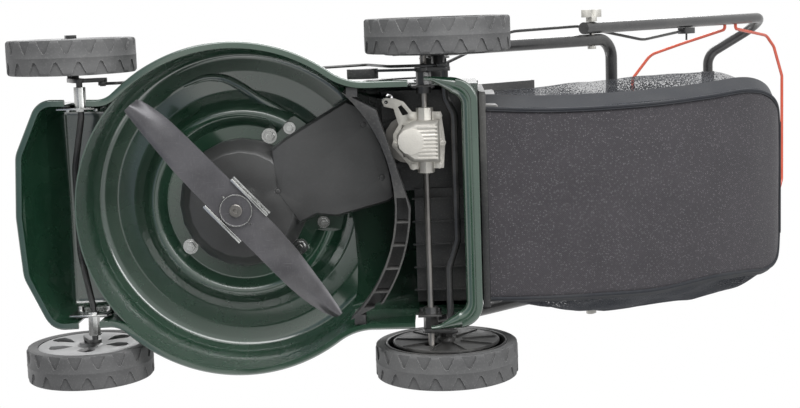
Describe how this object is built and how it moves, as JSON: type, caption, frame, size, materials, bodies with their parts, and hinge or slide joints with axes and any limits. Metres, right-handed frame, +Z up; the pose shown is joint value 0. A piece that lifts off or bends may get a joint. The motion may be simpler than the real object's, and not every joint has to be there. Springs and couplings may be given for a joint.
{
  "type": "self-propelled lawn mower",
  "caption": "Self-propelled petrol rotary mower: steel deck, turning blade, geared rear axle, height adjuster, folding handle with two bails and a rear grass bag.",
  "frame": {"origin": "centre of the overall footprint, on the ground plane the tyres stand on", "axes": "+X towards the front of the mower, +Y to its left as the operator sees it, +Z up"},
  "size_m": [1.2896, 0.5068, 1.0878],
  "materials": {
    "air_filter": "moulded black",
    "axle_bearing_left": "satin black",
    "axle_bearing_right": "satin black",
    "bag_frame": "moulded black",
    "belt_cover": "moulded black",
    "blade": "dark worn steel",
    "blade_bolt": "dark steel",
    "blade_carrier": "zinc plated",
    "cable_spring": "bright wire",
    "carburettor": "die cast",
    "chamber_ring": "moulded black",
    "crankshaft": "machined",
    "deck": "glossy paint",
    "discharge_flap": "glossy paint",
    "drive_bail": "coated red",
    "drive_belt": "matt",
    "drive_cable": "sheathed cable",
    "drive_shaft": "drawn bar",
    "dust_cover_left": "moulded black",
    "dust_cover_right": "moulded black",
    "engine_block": "as cast",
    "engine_bolt_1": "zinc plated",
    "engine_bolt_2": "zinc plated",
    "engine_bolt_3": "zinc plated",
    "engine_cowl": "moulded black",
    "front_axle": "satin black",
    "front_clamp_left": "zinc plated",
    "front_clamp_right": "zinc plated",
    "front_tyre_left": "matt",
    "front_tyre_right": "matt",
    "front_wheel_left": "moulded grey",
    "front_wheel_right": "moulded grey",
    "fuel_cap": "moulded black",
    "fuel_tank": "moulded black",
    "gearbox": "die cast",
    "gearbox_pulley": "pressed steel",
    "grass_bag": "woven polyester",
    "grass_duct": "moulded black",
    "handle_bracket_left": "satin black",
    "handle_bracket_right": "satin black",
    "handle_grip": "foam",
    "handle_knob_left": "moulded grey",
    "handle_knob_right": "moulded grey",
    "height_knob": "moulded black",
    "link_rod": "satin black",
    "lower_handle": "satin black",
    "muffler": "heat darkened",
    "oil_dipstick": "moulded black",
    "plug_boot": "matt",
    "primer_bulb": "soft red",
    "rear_adjuster": "satin black",
    "rear_tyre_left": "matt",
    "rear_tyre_right": "matt",
    "rear_wheel_left": "moulded black",
    "rear_wheel_right": "moulded black",
    "spark_plug": "glazed ceramic and steel",
    "starter_handle": "moulded black",
    "stop_bail": "coated red",
    "stop_cable": "sheathed cable",
    "upper_handle": "satin black"
  },
  "bodies": {
    "chassis": {"air_filter": "air_filter", "axle_bearing_left": "axle_bearing_left", "axle_bearing_right": "axle_bearing_right", "belt_cover": "belt_cover", "carburettor": "carburettor", "chamber_ring": "chamber_ring", "deck": "deck", "drive_belt": "drive_belt", "drive_cable": "drive_cable", "engine_block": "engine_block", "engine_bolt_1": "engine_bolt_1", "engine_bolt_2": "engine_bolt_2", "engine_bolt_3": "engine_bolt_3", "engine_cowl": "engine_cowl", "front_clamp_left": "front_clamp_left", "front_clamp_right": "front_clamp_right", "fuel_tank": "fuel_tank", "grass_duct": "grass_duct", "handle_bracket_left": "handle_bracket_left", "handle_bracket_right": "handle_bracket_right", "lower_handle": "lower_handle", "muffler": "muffler", "plug_boot": "plug_boot", "spark_plug": "spark_plug", "stop_cable": "stop_cable"},
    "blade_rotor": {"blade": "blade", "blade_carrier": "blade_carrier", "blade_bolt": "blade_bolt", "crankshaft": "crankshaft"},
    "discharge_flap": {"discharge_flap": "discharge_flap"},
    "starter_handle": {"starter_handle": "starter_handle"},
    "fuel_cap": {"fuel_cap": "fuel_cap"},
    "oil_dipstick": {"oil_dipstick": "oil_dipstick"},
    "primer_bulb": {"primer_bulb": "primer_bulb"},
    "front_axle": {"front_axle": "front_axle"},
    "front_wheel_left": {"front_wheel_left": "front_wheel_left", "front_tyre_left": "front_tyre_left"},
    "front_wheel_right": {"front_wheel_right": "front_wheel_right", "front_tyre_right": "front_tyre_right"},
    "rear_adjuster": {"rear_adjuster": "rear_adjuster", "height_knob": "height_knob", "dust_cover_left": "dust_cover_left", "dust_cover_right": "dust_cover_right"},
    "rear_wheel_left": {"rear_wheel_left": "rear_wheel_left", "rear_tyre_left": "rear_tyre_left"},
    "rear_wheel_right": {"rear_wheel_right": "rear_wheel_right", "rear_tyre_right": "rear_tyre_right"},
    "drive_shaft": {"drive_shaft": "drive_shaft"},
    "gearbox": {"gearbox": "gearbox", "cable_spring": "cable_spring"},
    "gearbox_pulley": {"gearbox_pulley": "gearbox_pulley"},
    "link_rod": {"link_rod": "link_rod"},
    "upper_handle": {"upper_handle": "upper_handle", "handle_grip": "handle_grip"},
    "stop_bail": {"stop_bail": "stop_bail"},
    "drive_bail": {"drive_bail": "drive_bail"},
    "handle_knob_left": {"handle_knob_left": "handle_knob_left"},
    "handle_knob_right": {"handle_knob_right": "handle_knob_right"},
    "grass_bag": {"bag_frame": "bag_frame", "grass_bag": "grass_bag"}
  },
  "joints": [
    {"name": "blade_spin", "type": "hinge", "parent": "chassis", "child": "blade_rotor", "pos_m": [0.32822, 0, 0.06], "axis": [0, 0, 1], "continuous": true},
    {"name": "gearbox_tilt", "type": "hinge", "parent": "chassis", "child": "gearbox", "pos_m": [0.06672, 0.0845, 0.075], "axis": [0, -1, 0], "range_deg": [0, 4], "stiffness_Nm_per_rad": 2, "springref_deg": -5.73, "deforming": ["drive_belt", "drive_cable"]},
    {"name": "gearbox_pulley_spin", "type": "hinge", "parent": "gearbox", "child": "gearbox_pulley", "pos_m": [0.09022, 0.0845, 0.1085], "axis": [0, 0, 1], "continuous": true},
    {"name": "drive_shaft_spin", "type": "hinge", "parent": "chassis", "child": "drive_shaft", "pos_m": [0.06672, 0, 0.075], "axis": [0, 1, 0], "continuous": true},
    {"name": "height_adjust", "type": "hinge", "parent": "chassis", "child": "rear_adjuster", "pos_m": [0.06672, 0, 0.075], "axis": [0, -1, 0], "range_deg": [0, 80]},
    {"name": "rear_wheel_left_spin", "type": "hinge", "parent": "rear_adjuster", "child": "rear_wheel_left", "pos_m": [0.04622, 0.22925, 0.1016], "axis": [0, 1, 0], "continuous": true},
    {"name": "rear_wheel_right_spin", "type": "hinge", "parent": "rear_adjuster", "child": "rear_wheel_right", "pos_m": [0.04622, -0.22925, 0.1016], "axis": [0, 1, 0], "continuous": true},
    {"name": "link_rod_pivot", "type": "hinge", "parent": "rear_adjuster", "child": "link_rod", "pos_m": [0.03665, 0.1879, 0.06406], "axis": [0, -1, 0], "range_deg": [-76, 0]},
    {"name": "front_axle_swing", "type": "hinge", "parent": "chassis", "child": "front_axle", "pos_m": [0.53972, 0, 0.0595], "axis": [0, 1, 0], "range_deg": [0, 80]},
    {"name": "front_wheel_left_spin", "type": "hinge", "parent": "front_axle", "child": "front_wheel_left", "pos_m": [0.55522, 0.216, 0.0889], "axis": [0, 1, 0], "continuous": true},
    {"name": "front_wheel_right_spin", "type": "hinge", "parent": "front_axle", "child": "front_wheel_right", "pos_m": [0.55522, -0.216, 0.0889], "axis": [0, 1, 0], "continuous": true},
    {"name": "discharge_flap_hinge", "type": "hinge", "parent": "chassis", "child": "discharge_flap", "pos_m": [-0.00978, 0, 0.2475], "axis": [0, 1, 0], "range_deg": [0, 70], "stiffness_Nm_per_rad": 0.3, "springref_deg": -45.84},
    {"name": "handle_fold", "type": "hinge", "parent": "chassis", "child": "upper_handle", "pos_m": [-0.20678, 0, 0.493], "axis": [0, 1, 0], "range_deg": [0, 120], "deforming": ["drive_cable", "stop_cable"]},
    {"name": "handle_knob_left_turn", "type": "hinge", "parent": "chassis", "child": "handle_knob_left", "pos_m": [-0.20678, 0.22, 0.493], "axis": [0, 1, 0], "continuous": true},
    {"name": "handle_knob_right_turn", "type": "hinge", "parent": "chassis", "child": "handle_knob_right", "pos_m": [-0.20678, -0.22, 0.493], "axis": [0, 1, 0], "continuous": true},
    {"name": "stop_bail_squeeze", "type": "hinge", "parent": "upper_handle", "child": "stop_bail", "pos_m": [-0.49575, 0, 0.8624], "axis": [0, -1, 0], "range_deg": [0, 44], "stiffness_Nm_per_rad": 0.6, "springref_deg": -45.84},
    {"name": "drive_bail_squeeze", "type": "hinge", "parent": "upper_handle", "child": "drive_bail", "pos_m": [-0.52286, 0, 0.89706], "axis": [0, 1, 0], "range_deg": [0, 40], "stiffness_Nm_per_rad": 0.6, "springref_deg": -45.84},
    {"name": "grass_bag_lift_off", "type": "slide", "parent": "chassis", "child": "grass_bag", "axis": [-1, 0, 0], "range_m": [0, 0.35]},
    {"name": "fuel_cap_lift_off", "type": "slide", "parent": "chassis", "child": "fuel_cap", "axis": [0, 0, 1], "range_m": [0, 0.04]},
    {"name": "oil_dipstick_lift_out", "type": "slide", "parent": "chassis", "child": "oil_dipstick", "axis": [0, 0, 1], "range_m": [0, 0.07]},
    {"name": "starter_pull", "type": "slide", "parent": "chassis", "child": "starter_handle", "axis": [-0.5501, 0, 0.8351], "range_m": [0, 0.5], "stiffness_N_per_m": 4, "springref_m": -0.5},
    {"name": "primer_press", "type": "slide", "parent": "chassis", "child": "primer_bulb", "axis": [0, -1, 0], "range_m": [0, 0.006], "stiffness_N_per_m": 400, "springref_m": -0.002}
  ],
  "couplings": [
    {"joint": "gearbox_pulley_spin", "follows": "drive_shaft_spin", "ratio": 20},
    {"joint": "rear_wheel_left_spin", "follows": "drive_shaft_spin", "ratio": 0.31579},
    {"joint": "rear_wheel_right_spin", "follows": "drive_shaft_spin", "ratio": 0.31579},
    {"joint": "front_axle_swing", "follows": "height_adjust", "ratio": 1},
    {"joint": "link_rod_pivot", "follows": "height_adjust", "ratio": -0.9379}
  ]
}
